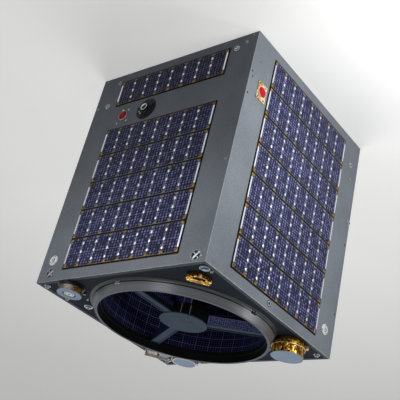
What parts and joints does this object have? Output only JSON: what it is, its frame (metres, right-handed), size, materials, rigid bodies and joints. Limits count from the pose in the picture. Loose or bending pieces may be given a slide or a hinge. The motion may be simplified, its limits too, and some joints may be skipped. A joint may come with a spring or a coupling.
{
  "type": "Earth-imaging microsatellite",
  "caption": "Box-shaped Earth-imaging satellite with solar cells on its sides and a reflecting telescope that looks out through the separation ring on its nadir deck.",
  "frame": {"origin": "middle of the flat zenith face, which the satellite stands on", "axes": "+Z out along the telescope's line of sight, through the nadir deck; -Y out of the side that carries the star tracker; -X out of the side that carries the gold sensor plate"},
  "size_m": [0.6156, 0.6176, 0.763],
  "materials": {
    "panel_skin": "satin grey conversion-coated sheet with a fine grain",
    "deck_skin": "dark blue-grey matt coating",
    "array_board": "amber film over a dark board, with dark edges",
    "solar_cell": "dark indigo cell under clear cover glass, with a fine pale grid",
    "silver_bar": "bright silver strip",
    "telescope_black": "flat black coating",
    "mirror_glass": "polished reflecting coat",
    "spider_grey": "matt blue-grey coating",
    "ring_metal": "satin turned metal",
    "tracker_black": "satin black anodised",
    "lens_glass": "dark polished lens",
    "gold_plate": "gold-plated sheet",
    "white_paint": "matt white paint",
    "red_dome": "glossy red filter",
    "gold_foil": "crinkled gold film",
    "antenna_face": "matt pale blue-grey cover",
    "thermal_blanket": "crumpled pale film",
    "fitting_steel": "bright machined metal"
  },
  "bodies": {
    "root": {"antenna_connectors": "fitting_steel", "boards_back": "array_board", "boards_front": "array_board", "boards_left": "array_board", "boards_right": "array_board", "bus_bars": "silver_bar", "cells_back": "solar_cell", "cells_front": "solar_cell", "cells_left": "solar_cell", "cells_right": "solar_cell", "corner_flange": "fitting_steel", "cover_discs": "white_paint", "equipment_stack": "deck_skin", "far_antenna": "white_paint", "far_antenna_cover": "antenna_face", "foil_box": "gold_foil", "inner_baffle": "telescope_black", "instrument_tray": "white_paint", "large_antenna": "gold_foil", "large_antenna_cover": "antenna_face", "lugs": "fitting_steel", "mirror_cell": "telescope_black", "nadir_deck": "deck_skin", "panel_back": "panel_skin", "panel_front": "panel_skin", "panel_left": "panel_skin", "panel_right": "panel_skin", "pocket_fittings": "fitting_steel", "primary_mirror": "mirror_glass", "ring_base": "ring_metal", "ring_groove": "telescope_black", "ring_latches": "telescope_black", "ring_lip": "ring_metal", "secondary_can": "telescope_black", "secondary_hub": "spider_grey", "secondary_mirror": "mirror_glass", "sensor_domes": "red_dome", "sensor_plate": "gold_plate", "sensor_rings": "white_paint", "small_antenna": "tracker_black", "small_antenna_boss": "fitting_steel", "small_antenna_cover": "antenna_face", "spider_vanes": "spider_grey", "star_tracker": "tracker_black", "telescope_barrel": "telescope_black", "tracker_glass": "lens_glass", "tray_blanket": "thermal_blanket", "tray_patch": "antenna_face", "tray_unit": "fitting_steel", "zenith_deck": "panel_skin"}
  },
  "joints": []
}
